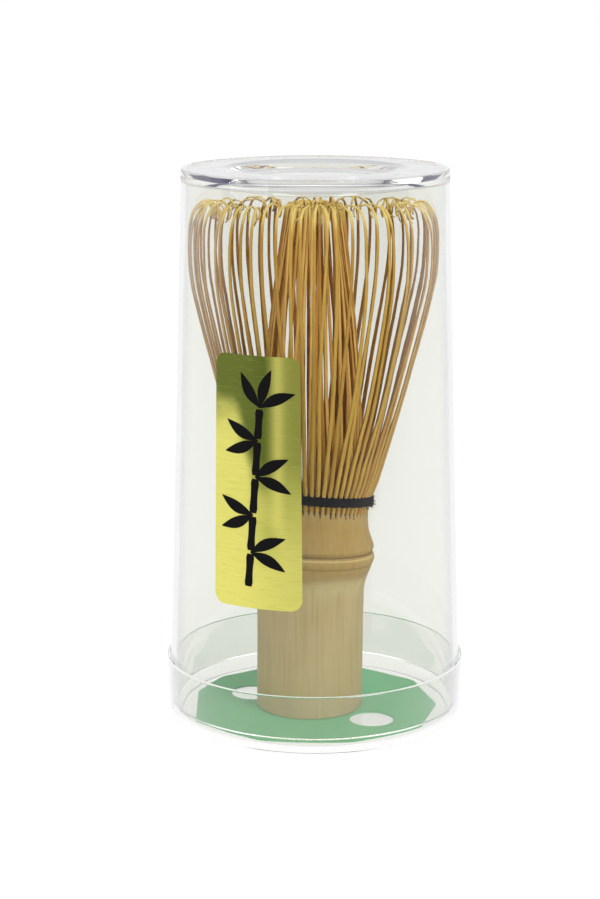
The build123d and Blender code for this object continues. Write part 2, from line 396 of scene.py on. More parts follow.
def culm_bamboo(sizes):
    """Dried bamboo: straw below, amber round the node, fine upright fibres, faint specks, and painted shade in the
    saw cuts between tines.
    """
    f = new_finish("culm_bamboo")
    grain = f.carried("grain")
    level = f.part_of(grain, "Z") * 1000.0
    kerf_shade = f.carried("kerf_shade", "Fac")
    node = sizes.node_height * 1000.0
    fibres = f.noise(f.scaled(grain, (1.0, 1.0, 0.03)), 1500.0, 3.0, 0.55)
    streaks = f.noise(f.scaled(grain, (1.0, 1.0, 0.06)), 420.0, 3.0)
    clouds = f.noise(grain, 110.0, 3.0)
    ambering = f.ease(level + clouds * 5.0, node - 5.2, node - 1.0) * f.ease(level, node + 14.5, node + 6.0)
    tone = f.mix(ambering, sizes.straw, sizes.amber)
    tone = f.mix(f.bell(level, node - 8.0, 4.6) * 0.75, tone, paint(190, 174, 124))
    tone = f.mix(f.ease(clouds, 0.42, 0.75) * 0.35, tone, paint(172, 148, 92))
    tone = f.mix(f.ease(streaks, 0.5, 0.8) * 0.35, tone, paint(140, 110, 54))
    tone = f.mix(f.ease(fibres, 0.5, 0.8) * 0.4, tone, paint(134, 104, 52))
    tone = f.mix(f.ease(fibres, 0.45, 0.2) * 0.25, tone, paint(206, 186, 132))
    specks = f.ease(f.noise(grain, 900.0, 2.0), 0.74, 0.8)
    tone = f.mix(specks * 0.3, tone, paint(120, 92, 50))
    lower_line = f.bell(level, node - 2.9, 0.38) * 0.4 + f.bell(level + clouds * 3.0 - 1.5, node - 4.9, 1.5) * 0.25
    tone = f.mix(lower_line, tone, paint(120, 88, 40))
    tone = f.mix(f.bell(level, node - 0.75, 0.35) * 0.5, tone, paint(222, 200, 140))
    tone = f.mix(f.bell(level + clouds * 0.3 - 0.15, node, 0.28) * 0.85, tone, sizes.scar)
    # Painted shade: the saw cuts between tines are painted dark brown, as if shade lay in them.
    tone = f.mix(kerf_shade * 0.9, tone, paint(62, 42, 18))
    height = fibres * 0.5 + streaks * 0.5
    return f.done(
        f.surface(
            Base_Color=tone,
            Roughness=0.5 + fibres * 0.14,
            Specular_IOR_Level=0.25,
            Normal=f.bump(height, 0.00005, 0.35),
        )
    )


def tine_bamboo(name, sizes, skin, flesh_and_side_shade):
    """Split bamboo: a smooth outer face, cut sides in a darker flesh colour that is partly painted shade, and a
    shaved pale tip.
    """
    f = new_finish(name)
    grain = f.carried("grain")
    marks = f.carried("marks")
    tone_shift = f.part_of(marks, "X")
    bare = f.part_of(marks, "Y")
    inside = f.part_of(marks, "Z")
    fibres = f.noise(f.scaled(grain, (1.0, 1.0, 0.03)), 5200.0, 3.0, 0.6)
    clouds = f.noise(f.scaled(grain, (1.0, 1.0, 0.25)), 260.0, 2.0)
    tone = f.mix(f.ease(tone_shift + clouds * 0.5, 0.3, 1.3), skin, flesh_and_side_shade)
    tone = f.mix(f.ease(fibres, 0.46, 0.78) * 0.4, tone, flesh_and_side_shade)
    # Partly painted shade: deeper into the section, the cut sides take the darker flesh colour.
    tone = f.mix(f.ease(inside, 0.0, 0.4) * 0.9, tone, flesh_and_side_shade)
    tone = f.mix(bare, tone, f.mix(f.ease(fibres, 0.4, 0.8) * 0.4, sizes.tip, paint(190, 152, 74)))
    return f.done(
        f.surface(
            Base_Color=tone,
            Roughness=0.5 + fibres * 0.16,
            Specular_IOR_Level=0.15,
            Normal=f.bump(fibres, 0.00004, 0.4),
        )
    )


def dyed_thread(sizes):
    """Black cotton: twisted plies that show along the thread's own length, with painted shade in the grooves between
    them.
    """
    f = new_finish("dyed_thread")
    grain = f.carried("grain")
    around = f.part_of(grain, "X")
    along = f.part_of(grain, "Z")
    ply = f.node("ShaderNodeMath", {"operation": "SINE"}, {0: around * 2.0 + along * 5200.0})
    lint = f.noise(f.place(), 5200.0, 3.0, 0.7)
    tone = f.mix(f.ease(lint, 0.55, 0.9) * 0.5, sizes.dye, paint(17, 20, 29))
    # Painted shade: the grooves between the plies are painted darker.
    tone = f.mix(f.ease(ply, -0.2, -1.0) * 0.6, tone, paint(4, 4, 6))
    return f.done(
        f.surface(
            Base_Color=tone,
            Roughness=0.85 + lint * 0.12,
            Specular_IOR_Level=0.06,
            Normal=f.bump(ply + lint * 0.8, 0.00012, 0.7),
        )
    )


def green_card(sizes):
    """Coated green card: an even printed face with paper fibre and a soft mottle."""
    f = new_finish("green_card")
    place = f.place()
    fibre = f.noise(place, 1400.0, 4.0, 0.7)
    mottle = f.noise(place, 90.0, 3.0)
    tone = f.mix(f.ease(mottle, 0.35, 0.8) * 0.25, sizes.green, paint(70, 160, 98))
    tone = f.mix(f.ease(fibre, 0.5, 0.85) * 0.2, tone, paint(120, 196, 140))
    return f.done(
        f.surface(
            Base_Color=tone,
            Roughness=0.55 + fibre * 0.15,
            Specular_IOR_Level=0.4,
            Normal=f.bump(fibre, 0.00006, 0.35),
        )
    )


def gold_foil(sizes):
    """Brushed gold foil: bright yellow metal, with painted olive shade and painted dim reflection in soft upright
    bands.
    """
    f = new_finish("gold_foil")
    grain = f.carried("grain")
    brushing = f.noise(f.scaled(grain, (0.06, 1.0, 1.0)), 3800.0, 4.0, 0.7)
    ripple = f.noise(f.scaled(grain, (0.5, 1.0, 1.0)), 160.0, 3.0)
    across = f.part_of(grain, "X") * (2.0 / sizes.width)
    up = (f.part_of(grain, "Z") - LABEL_BOTTOM) * (1.0 / (LABEL_TOP - LABEL_BOTTOM)) + ripple * 0.16 - 0.08
    # Painted shade and painted reflection: soft upright olive bands and duller bands painted into the foil's colour.
    edge = 0.76 - f.ease(across, -0.55, 0.1) * 0.27
    painted_shade_bands = f.ease(up - edge, -0.09, 0.12) * (1 - f.bell(across, 0.52, 0.34) * 0.75)
    painted_shade_bands = painted_shade_bands * (1 - f.ease(across, 0.35, 0.8) * 0.55)
    painted_dim_bands = f.ease(up, 0.12, 0.6) * f.ease(across, -0.3, 0.3) * (1 - f.bell(across, 0.5, 0.24))
    painted_dim_bands = painted_dim_bands + f.bell(across + ripple * 0.5 - 0.25, 0.25, 0.4) * f.bell(up, 0.27, 0.16) * 0.7
    tone = f.mix(painted_dim_bands * 0.5, sizes.gold, paint(150, 158, 58))
    tone = f.mix(painted_shade_bands * 0.92, tone, sizes.painted_shade_olive)
    tone = f.mix(f.ease(brushing, 0.5, 0.8) * 0.35, tone, paint(150, 160, 52))
    tone = f.mix(f.ease(brushing, 0.45, 0.2) * 0.4, tone, f.mix(0.55, tone, paint(246, 242, 160)))
    return f.done(
        f.surface(
            Base_Color=tone,
            Metallic=0.75,
            Roughness=0.34 + brushing * 0.18,
            Normal=f.bump(brushing + ripple * 0.6, 0.00006, 0.5),
        )
    )


def label_ink(sizes):
    """Black printing ink: slightly glossy, with faint paler dry patches."""
    f = new_finish("label_ink")
    dry = f.noise(f.scaled(f.place(), (1.0, 1.0, 0.4)), 1800.0, 3.0)
    tone = f.mix(f.ease(dry, 0.6, 0.85) * 0.4, sizes.ink, paint(26, 25, 18))
    return f.done(
        f.surface(
            Base_Color=tone,
            Roughness=0.6 + dry * 0.2,
            Specular_IOR_Level=0.12,
            Normal=f.bump(dry, 0.00003, 0.4),
        )
    )


# ---------------------------------------------------------------- mesh tools
def turned(profile, steps):
    """Spins a profile of (radius, height) points, which starts and ends on the Z axis, full circle about it."""
    bm = bmesh.new()
    verts = [bm.verts.new((radius, 0.0, height)) for radius, height in profile]
    edges = [bm.edges.new(pair) for pair in zip(verts, verts[1:])]
    bmesh.ops.spin(
        bm, geom=verts + edges, cent=(0, 0, 0), axis=(0, 0, 1), angle=math.tau, steps=steps, use_merge=True
    )
    bmesh.ops.remove_doubles(bm, verts=bm.verts, dist=0.000001)
    bmesh.ops.recalc_face_normals(bm, faces=bm.faces)
    return bm


def moulded(corners, steps):
    """Spins a moulded section whose corners are (radius, height, rounding, segments).

    A narrow brace on each side of a rounding keeps the long walls flat where they are shaded.
    """
    brace = 0.05 * MM
    spots = [Vector(corner[:2]) for corner in corners]
    profile = []
    for index, spot in enumerate(spots):
        rounding = corners[index][2]
        if not rounding:
            profile.append(tuple(spot))
            continue
        before = (spots[index - 1] - spot).normalized()
        after = (spots[index + 1] - spot).normalized()
        profile.append(tuple(spot + before * (rounding + brace)))
        profile.append(tuple(spot))
        profile.append(tuple(spot + after * (rounding + brace)))
    bm = turned(profile, steps)
    for spot, (_, _, rounding, segments) in zip(spots, corners):
        if rounding:
            round_ring(bm, spot, rounding, segments)
    bmesh.ops.recalc_face_normals(bm, faces=bm.faces)
    return bm


def round_ring(bm, spot, size, segments):
    """Rounds the ring of edges that a section's corner made."""
    near = 0.01 * MM
    ring = [
        edge
        for edge in bm.edges
        if all(abs(v.co.z - spot.y) < near and abs(v.co.xy.length - spot.x) < near for v in edge.verts)
    ]
    if not ring:
        raise RuntimeError(f"no ring of edges at radius {spot.x:.5f}, height {spot.y:.5f}")
    bmesh.ops.bevel(bm, geom=ring, offset=size, segments=segments, profile=0.5, affect="EDGES", material=-1)


def finished(bm, name, material, crease_degrees=40.0):
    """Turns a bmesh into an object with smooth shading and creased corners."""
    limit = math.radians(crease_degrees)
    for face in bm.faces:
        face.smooth = True
    for edge in bm.edges:
        if len(edge.link_faces) == 2 and edge.calc_face_angle() > limit:
            edge.smooth = False
    mesh = bpy.data.meshes.new(name)
    bm.to_mesh(mesh)
    bm.free()
    mesh.materials.append(material)
    piece = bpy.data.objects.new(name, mesh)
    bpy.context.scene.collection.objects.link(piece)
    return piece


def through(points, where):
    """The point at a share of the way along a smooth curve through points."""
    reach = where * (len(points) - 1)
    index = min(int(reach), len(points) - 2)
    t = reach - index
    p1, p2 = points[index], points[index + 1]
    p0 = points[index - 1] if index else p1 * 2 - p2
    p3 = points[index + 2] if index + 2 < len(points) else p2 * 2 - p1
    return 0.5 * (
        p1 * 2 + (p2 - p0) * t + (p0 * 2 - p1 * 5 + p2 * 4 - p3) * t * t + (p1 * 3 - p0 - p2 * 3 + p3) * t * t * t
    )


def along_curve(points, stations, crowding=1.0):
    """Points at even lengths along a smooth curve, or crowded towards its end."""
    fine = [through(points, index / 240) for index in range(241)]
    lengths = [0.0]
    for before, after in zip(fine, fine[1:]):
        lengths.append(lengths[-1] + (after - before).length)
    found = []
    cursor = 0
    for index in range(stations):
        wanted = lengths[-1] * (1 - (1 - index / (stations - 1)) ** crowding)
        while cursor < 239 and lengths[cursor + 1] < wanted:
            cursor += 1
        run = max(lengths[cursor + 1] - lengths[cursor], 1e-12)
        found.append(fine[cursor].lerp(fine[cursor + 1], (wanted - lengths[cursor]) / run))
    return found


def sweep(bm, section, frames):
    """Extrudes an outline along a chain of frames, and yields each end face with its frame."""
    face = bm.faces.new([bm.verts.new(frames[0] @ corner) for corner in section])
    rings = [(list(face.verts), 0)]
    for index, (before, after) in enumerate(zip(frames, frames[1:])):
        grown = bmesh.ops.extrude_face_region(bm, geom=[face])["geom"]
        face = next(item for item in grown if isinstance(item, bmesh.types.BMFace))
        bmesh.ops.transform(bm, matrix=after @ before.inverted(), verts=face.verts)
        rings.append((list(face.verts), index + 1))
        turn_outwards(rings[-2][0] + rings[-1][0])
    return rings


def round_section(sides):
    """Corners of a round section of radius 1."""
    return [Vector((math.cos(k * math.tau / sides), math.sin(k * math.tau / sides), 0.0)) for k in range(sides)]


def turn_outwards(ring_verts):
    """Turns the faces of one length of a sweep away from its middle."""
    middle = sum((vert.co for vert in ring_verts), Vector()) / len(ring_verts)
    known = set(ring_verts)
    for face in {face for vert in ring_verts for face in vert.link_faces}:
        if known.issuperset(face.verts):
            face.normal_update()
            if face.normal.dot(face.calc_center_median() - middle) < 0:
                face.normal_flip()


def leaning(point, turn):
    """The slope of the binding and the node: how far a height moves, at an azimuth."""
    front = turn + math.pi / 2
    return point * (-1.32 * math.sin(front) - 1.78 * (1 - math.cos(front))) * MM


def top_lean(turn):
    """How far the tines' tops stand above or below their mean height, at an azimuth."""
    return (0.35 + 1.65 * math.cos(turn + math.pi / 2)) * MM


def smooth_step(value, low, high):
    """0 below low, 1 above high, smooth between."""
    t = min(max((value - low) / (high - low), 0.0), 1.0)
    return t * t * (3 - 2 * t)


def seated(point):
    """Where a point of the whisk stands: it leans a little in its case."""
    drift = -1.2 * MM + 0.8 * MM * point.z / WHISK_TOP
    return Vector((point.x + drift, point.y, point.z))


def seat_all(bm):
    """Moves a whole piece of the whisk to where it stands."""
    for vert in bm.verts:
        vert.co = seated(vert.co)


# ---------------------------------------------------------------- base cap and cover
def base_radii(sizes):
    """Radii of the base cap: its foot, its wall's inside at the ledge, and the ledge's edge."""
    foot = RIM_RADIUS - sizes.base_draft
    slope = sizes.base_draft / RIM_HEIGHT
    wall_inside = foot + slope * PLUG_BOTTOM - sizes.base_wall
    return foot, wall_inside, wall_inside - sizes.ledge_width


def cover_slope(sizes):
    """How much the cover's radius shrinks for each metre of height above its shoulder."""
    return (SHOULDER_RADIUS - sizes.cover_top_radius) / (CASE_HEIGHT - SHOULDER_HEIGHT)


class WHISK_OT_base_cap(Operator):
    """Makes the clear base cap with its ledge and rim"""

    bl_idname = "whisk.base_cap"
    bl_label = "Base Cap"

    def execute(self, context):
        sizes = context.scene.whisk_case
        foot, wall_inside, ledge_edge = base_radii(sizes)
        corners = [
            (0.0, 0.0, 0, 0),
            (foot, 0.0, 2.2 * MM, 8),
            (RIM_RADIUS, RIM_HEIGHT, 0.25 * MM, 3),
            (RIM_RADIUS - sizes.base_wall, RIM_HEIGHT, 0.15 * MM, 2),
            (wall_inside, PLUG_BOTTOM, 0, 0),
            (ledge_edge, PLUG_BOTTOM, 0.3 * MM, 3),
            (ledge_edge, sizes.base_floor, 2.0 * MM, 8),
            (0.0, sizes.base_floor, 0, 0),
        ]
        bm = moulded(corners, sizes.steps)
        piece = finished(bm, "base_cap_clear", clear_plastic("clear_base", sizes.base_tint, sizes.edge_painted_shade), 35.0)
        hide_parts("base")
        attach(piece, "base_cap")
        return {"FINISHED"}


class WHISK_OT_cover(Operator):
    """Makes the clear cover: tapered wall, plug, top plate, well and boss"""

    bl_idname = "whisk.cover"
    bl_label = "Cover"

    def execute(self, context):
        sizes = context.scene.whisk_case
        _, wall_inside, _ = base_radii(sizes)
        mouth = wall_inside - sizes.plug_clearance
        plate = CASE_HEIGHT - sizes.top_plate
        boss = plate - sizes.boss_drop
        well_floor = CASE_HEIGHT - sizes.well_depth
        plate_radius = sizes.cover_top_radius + cover_slope(sizes) * sizes.top_plate - sizes.cover_wall
        corners = [
            (0.0, boss, 0, 0),
            (sizes.boss_radius, boss, 0.35 * MM, 4),
            (sizes.boss_radius + 1.4 * MM, plate, 0.2 * MM, 2),
            (plate_radius, plate, 0.5 * MM, 4),
            (SHOULDER_RADIUS - sizes.cover_wall, SHOULDER_HEIGHT, 0, 0),
            (mouth - sizes.cover_wall, PLUG_BOTTOM, 0.15 * MM, 2),
            (mouth, PLUG_BOTTOM, 0.2 * MM, 2),
            (SHOULDER_RADIUS, SHOULDER_HEIGHT, 0, 0),
            (sizes.cover_top_radius, CASE_HEIGHT, 0.35 * MM, 4),
            (sizes.well_radius, CASE_HEIGHT, 1.4 * MM, 6),
            (sizes.well_floor_radius, well_floor, 0.3 * MM, 3),
            (0.0, well_floor, 0, 0),
        ]
        bm = moulded(corners, sizes.steps)
        piece = finished(bm, "cover_clear", clear_plastic("clear_cover", sizes.cover_tint, sizes.edge_painted_shade), 35.0)
        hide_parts("cover")
        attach(piece, "case_cover")
        return {"FINISHED"}


# ---------------------------------------------------------------- card
class WHISK_OT_card(Operator):
    """Gives the card insert its green coated finish"""

    bl_idname = "whisk.card"
    bl_label = "Card Insert"

    def execute(self, context):
        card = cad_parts["card_insert"]
        finish = green_card(context.scene.whisk_card)
        for holder in card.material_slots:
            holder.material = finish
        return {"FINISHED"}


# ---------------------------------------------------------------- culm
def culm_outline(sizes):
    """The culm's outside, from the foot to the split collar, in millimetres."""
    collar = sizes.collar_radius / MM
    foot = sizes.handle_radius / MM
    node = sizes.node_height / MM
    return [
        (foot - 0.5, CARD_TOP / MM),
        (foot - 0.12, CARD_TOP / MM + 0.14),
        (foot, CARD_TOP / MM + 0.55),
        (foot - 0.02, CARD_TOP / MM + 4.0),
        (foot - 0.02, node - 30.0),
        (foot + 0.02, node - 20.0),
        (foot + 0.1, node - 11.5),
        (foot + 0.32, node - 8.4),
        (foot + 0.98, node - 5.6),
        (foot + 1.62, node - 3.6),
        (foot + 1.75, node - 2.95),
        (foot + 2.0, node - 2.6),
        (foot + 2.28, node - 1.7),
        (foot + 2.26, node - 0.9),
        (foot + 2.02, node - 0.3),
        (foot + 1.66, node),
        (foot + 1.86, node + 0.35),
        (foot + 2.16, node + 0.9),
        (foot + 2.12, node + 1.5),
        (foot + 1.78, node + 2.6),
        (foot + 1.3, node + 4.2),
        (foot + 0.92, node + 6.0),
        (collar, node + 8.4),
    ]


class WHISK_OT_culm(Operator):
    """Turns the culm: handle, sloping node, collar and the saw cuts between tines"""

    bl_idname = "whisk.culm"
    bl_label = "Culm"

    def execute(self, context):
        sizes = context.scene.whisk_culm
        tines = context.scene.whisk_tines
        outline = [Vector((radius, height)) * MM for radius, height in culm_outline(sizes)]
        cuts, collar_rows = 88, 8
        outer = [tuple(through(outline, index / cuts)) for index in range(cuts + 1)]
        for row in range(1, collar_rows + 1):
            height = outer[cuts][1] + (KERF_HEIGHT - outer[cuts][1]) * row / collar_rows
            outer.append((sizes.collar_radius, height))
        floor_height = sizes.node_height - 2.4 * MM
        well_height = sizes.node_height + 1.05 * MM
        profile = [(0.0, floor_height), (sizes.handle_bore, floor_height), (sizes.handle_bore, CARD_TOP)]
        profile += outer
        profile += [(sizes.collar_bore, KERF_HEIGHT), (sizes.collar_bore, well_height), (0.0, well_height)]
        bm = turned(profile, tines.tine_count * sizes.steps)
        grain = bm.verts.layers.float_vector.new("grain")
        kerf_shade = bm.verts.layers.float.new("kerf_shade")
        pitch = math.tau / tines.tine_count
        cut_bottom = KERF_HEIGHT - 1.35 * MM
        dice = random.Random(7)
        cut_starts = [cut_bottom + dice.uniform(-0.35, 0.5) * MM for _ in range(tines.tine_count)]
        for vert in bm.verts:
            radius = vert.co.xy.length
            turn = math.atan2(vert.co.y, vert.co.x)
            height = vert.co.z
            vert[grain] = (turn * sizes.handle_radius, radius, height)
            outside = radius > sizes.collar_radius - 0.01 * MM and height > sizes.node_height
            steps_round = (turn % math.tau) / pitch
            beside = abs(steps_round - math.floor(steps_round) - 0.5)
            start = cut_starts[int(steps_round) % tines.tine_count]
            width = 0.08 + 0.12 * smooth_step(height, start + 0.4 * MM, KERF_HEIGHT)
            if outside and beside < width and height > start:
                depth = smooth_step(height, start, start + 0.6 * MM) * (1.0 if beside < 0.08 else 0.6)
                # The cut's depth, kept for the painted shade in the saw cuts.
                vert[kerf_shade] = depth
                radius -= sizes.kerf_depth * depth
            swell = 0.06 * MM * math.sin(2 * turn + 0.8) + 0.03 * MM * math.sin(3 * turn + 30 * height)
            radius += swell * smooth_step(height, 20 * MM, 36 * MM)
            height += leaning(0.62, turn) * smooth_step(height, 26 * MM, 38 * MM)
            height += leaning(0.38, turn) * smooth_step(vert.co.z, 42 * MM, 49 * MM)
            vert.co = (radius * math.cos(turn), radius * math.sin(turn), height)
        seat_all(bm)
        bmesh.ops.recalc_face_normals(bm, faces=bm.faces)
        piece = finished(bm, "culm_turned", culm_bamboo(sizes), 50.0)
        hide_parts("culm")
        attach(piece, "whisk")
        return {"FINISHED"}


# ---------------------------------------------------------------- tines
# An outer tine's outside, as shares of the way out to the widest radius and up to the whisk's top
OUTER_LINE = [
    (0.0, 0.0),
    (0.01, 0.025),
    (0.043, 0.047),
    (0.117, 0.076),
    (0.297, 0.198),
    (0.503, 0.339),
    (0.703, 0.499),
    (0.89, 0.664),
    (0.97, 0.753),
    (0.997, 0.84),
    (0.983, 0.905),
    (0.935, 0.95),
    (0.85, 0.983),
    (0.74, 0.997),
]
# An inner tine's outside, as shares of the way in to the bundle's radius and up to the top
INNER_LINE = [
    (0.0, 0.0),
    (-0.03, 0.05),
    (-0.03, 0.14),
    (0.0, 0.33),
    (0.3, 0.58),
    (0.74, 0.83),
    (0.95, 0.93),
    (1.05, 0.975),
]
TINE_SECTION = [(-0.3, 0.0), (0.3, 0.0), (0.5, -0.22), (0.42, -1.0), (-0.42, -1.0), (-0.5, -0.22)]


def tine_frames(path, side, turn, widths, depths, twist):
    """Frames along a tine: across, outwards and along, scaled to its width and thickness."""
    outward = Vector((math.cos(turn), math.sin(turn), 0.0))
    across = Vector((-math.sin(turn), math.cos(turn), 0.0))
    places = []
    for point, drift in zip(path, side):
        places.append(outward * point.x + across * drift + Vector((0.0, 0.0, point.y)))
    frames = []
    last = len(path) - 1
    for index, place in enumerate(places):
        along = (places[min(index + 1, last)] - places[max(index - 1, 0)]).normalized()
        run = path[min(index + 1, last)] - path[max(index - 1, 0)]
        out = (outward * run.y + Vector((0.0, 0.0, -run.x))).normalized()
        out = (out - along * out.dot(along)).normalized()
        edge = out.cross(along).normalized()
        spin = Matrix.Rotation(twist[index], 3, along)
        edge, out = spin @ edge, spin @ out
        matrix = Matrix((edge * widths[index], out * depths[index], along)).transposed().to_4x4()
        matrix.translation = seated(place)
        frames.append(matrix)
    return frames


def grow_tine(bm, frames, path, bare, tone, offset):
    """One tine, with its grain, tone and bareness written on its corners."""
    grain = bm.verts.layers.float_vector["grain"]
    marks = bm.verts.layers.float_vector["marks"]
    walked = 0.0
    lengths = [0.0]
    for before, after in zip(path, path[1:]):
        walked += (after - before).length
        lengths.append(walked)
    for ring, index in sweep(bm, [Vector((*corner, 0.0)) for corner in TINE_SECTION], frames):
        back = frames[index].inverted()
        for vert in ring:
            local = back @ vert.co
            vert[grain] = (local.x * MM + offset, local.y * MM, lengths[index])
            vert[marks] = (tone, bare[index], -local.y)


def tine_level(height):
    """How far up the tines a height is: 0 at the kerf, 1 at the whisk's top."""
    return (height - KERF_HEIGHT) / TINE_RISE


def root_leaned(path, turn):
    """A tine's path with its lower end raised or lowered to the slope of the binding."""
    low, high = 54 * MM, 84 * MM
    return [point + Vector((0.0, leaning(1.0, turn) * (1 - smooth_step(point.y, low, high)))) for point in path]


def outer_tine(bm, number, sizes, dice):
    """An outer tine: upright at the binding, flared, bowed over, its tip curled in."""
    collar = bpy.context.scene.whisk_culm.collar_radius
    turn = number * math.tau / sizes.tine_count
    wild = sizes.unevenness * 2
    right = max(math.cos(turn), 0.0)
    flare = 1 + dice.gauss(0, 0.010) * wild
    rise = top_lean(turn) + dice.uniform(-0.9, 0.0) * MM * wild
    line = []
    for out, up in OUTER_LINE:
        radius = collar + out * (SPREAD_RADIUS - collar) * (1 + (flare - 1) * smooth_step(up, 0.2, 0.7))
        height = KERF_HEIGHT + up * TINE_RISE + rise * smooth_step(up, 0.5, 1.0)
        line.append(Vector((min(radius, SPREAD_RADIUS), height)))
    top = line[-1]
    curl = dice.uniform(0.7, 1.25)
    drop = dice.uniform(2.4, 4.4) * MM
    tuck = dice.uniform(-0.3, 1.5) * MM
    line.append(Vector((top.x - 1.3 * MM * curl, top.y - 0.3 * MM)))
    line.append(Vector((top.x - 2.4 * MM * curl, top.y - 0.38 * drop)))
    line.append(Vector((top.x - 2.8 * MM * curl, top.y - 0.75 * drop)))
    line.append(Vector((top.x - 2.6 * MM * curl + tuck, top.y - drop - 0.4 * MM)))
    path = along_curve(line, sizes.stations, 1.5)
    drift_to = dice.gauss(0, 0.5 + 0.75 * right) * MM * wild
    swing = dice.gauss(0, 0.35 + 0.4 * right) * MM * wild
    tip_turn = dice.gauss(0, 2.7) * MM * wild
    drifts, widths, depths, twist, bare = [], [], [], [], []
    for index, point in enumerate(path):
        s = index / (sizes.stations - 1)
        up = tine_level(point.y)
        over = smooth_step(point.x, top.x + 3.0 * MM, top.x - 3.0 * MM) if up > 0.9 else 0.0
        sway = swing * math.sin(3.6 * up) * smooth_step(up, 0.1, 0.4)
        drifts.append(drift_to * smooth_step(up, 0.1, 0.95) + sway + tip_turn * over)
        widths.append(sizes.outer_width * (1 - 0.3 * smooth_step(up, 0.2, 0.85) - 0.25 * smooth_step(s, 0.6, 1.0)))
        depths.append(sizes.outer_depth * (0.2 + 0.8 * (1 - smooth_step(up, 0.0, 0.35)) * 0.75 + 0.2 * (1 - up)))
        twist.append(dice.gauss(0, 0.02) + 0.5 * over * math.copysign(1, tip_turn))
        bare.append(smooth_step(up, 0.93, 0.985))
    path = root_leaned(path, turn)
    frames = tine_frames(path, drifts, turn, widths, depths, twist)
    grow_tine(bm, frames, path, bare, dice.uniform(0.0, 0.75), dice.uniform(0.0, 1.0))


def inner_tine(bm, number, sizes, dice):
    """An inner tine: thin, gathered with the others into a slightly tangled bundle."""
    turn = (number + 0.5) * math.tau / sizes.tine_count
    wild = sizes.unevenness * 2
    reach = 1 + dice.gauss(0, 0.10) * wild
    line = []
    for inward, up in INNER_LINE:
        gathered = inward * (sizes.inner_root - sizes.bundle_radius) * (reach if inward > 0.1 else 1.0)
        line.append(Vector((sizes.inner_root - gathered, KERF_HEIGHT + up * TINE_RISE)))
    top = line[-1]
    drop = dice.uniform(0.8, 3.0) * MM
    over = dice.uniform(1.0, 2.2) * MM
    line.append(Vector((top.x - 0.4 * over, top.y + 0.9 * MM)))
    line.append(Vector((top.x - over, top.y + 0.8 * MM)))
    line.append(Vector((top.x - 1.35 * over, top.y - drop)))
    path = along_curve(line, sizes.stations, 1.35)
    drift_to = dice.gauss(0, 0.75) * MM * wild
    swing = dice.gauss(0, 0.5) * MM * wild
    drifts, widths, depths, twist, bare = [], [], [], [], []
    for index, point in enumerate(path):
        s = index / (sizes.stations - 1)
        up = tine_level(point.y)
        drifts.append(drift_to * smooth_step(up, 0.1, 0.9) + swing * math.sin(4.2 * up) * smooth_step(up, 0.1, 0.4))
        widths.append(sizes.inner_width * (1 - 0.35 * smooth_step(s, 0.1, 1.0)))
        depths.append(sizes.inner_depth * (0.4 + 0.6 * (1 - smooth_step(up, 0.0, 0.4))))
        twist.append(dice.gauss(0, 0.03))
        bare.append(smooth_step(up, 0.9, 0.99) * 0.75)
    path = root_leaned(path, turn)
    frames = tine_frames(path, drifts, turn, widths, depths, twist)
    grow_tine(bm, frames, path, bare, dice.uniform(0.0, 0.9), dice.uniform(0.0, 1.0))


def grow_row(side, material, grow, sizes, seed):
    """A row of tines: one piece for each section that the collar is split into."""
    sections = 16
    for section in range(sections):
        dice = random.Random(seed + section)
        bm = bmesh.new()
        bm.verts.layers.float_vector.new("grain")
        bm.verts.layers.float_vector.new("marks")
        first = section * sizes.tine_count // sections
        for number in range(first, first + sizes.tine_count // sections):
            grow(bm, number, sizes, dice)
        piece = finished(bm, f"tines_{side}_{section + 1:02d}", material, 50.0)
        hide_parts(f"{side}_tines_{section + 1:02d}")
        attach(piece, "whisk")


class WHISK_OT_outer_tines(Operator):
    """Grows the outer row of tines, four to a section"""

    bl_idname = "whisk.outer_tines"
    bl_label = "Outer Tines"

    def execute(self, context):
        sizes = context.scene.whisk_tines
        material = tine_bamboo("outer_bamboo", sizes, sizes.skin, sizes.flesh_and_side_shade)
        grow_row("outer", material, outer_tine, sizes, 100)
        return {"FINISHED"}


class WHISK_OT_inner_tines(Operator):
    """Grows the inner row of tines, gathered into a bundle"""

    bl_idname = "whisk.inner_tines"
    bl_label = "Inner Tines"

    def execute(self, context):
        sizes = context.scene.whisk_tines
        # Painted light: a lighter copy of the bamboo for the inner tines, against the bundle's shade.
        material = tine_bamboo("inner_bamboo", sizes, sizes.inner, sizes.core)
        grow_row("inner", material, inner_tine, sizes, 300)
        return {"FINISHED"}


# ---------------------------------------------------------------- binding thread
def ring_frames(steps, place, radius):
    """Frames round a closed loop, whose place is given for each share of the turn."""
    frames = []
    for index in range(steps + 1):
        here = place(index / steps)
        ahead = place((index + 0.5) / steps) - place((index - 0.5) / steps)
        along = ahead.normalized()
        out = Vector((here.x, here.y, 0.0)).normalized()
        out = (out - along * out.dot(along)).normalized()
        edge = out.cross(along)
        matrix = Matrix((edge * radius, out * radius, along)).transposed().to_4x4()
        matrix.translation = seated(here)
        frames.append(matrix)
    return frames


def wind(bm, place, radius, steps):
    """Sweeps a round thread along a path and writes its turn and length on its corners."""
    grain = bm.verts.layers.float_vector["grain"]
    frames = ring_frames(steps, place, radius)
    step = (frames[1].translation - frames[0].translation).length
    for ring, index in sweep(bm, round_section(10), frames):
        back = frames[index].inverted()
        for vert in ring:
            local = back @ vert.co
            vert[grain] = (math.atan2(local.y, local.x), 0.0, index * step)


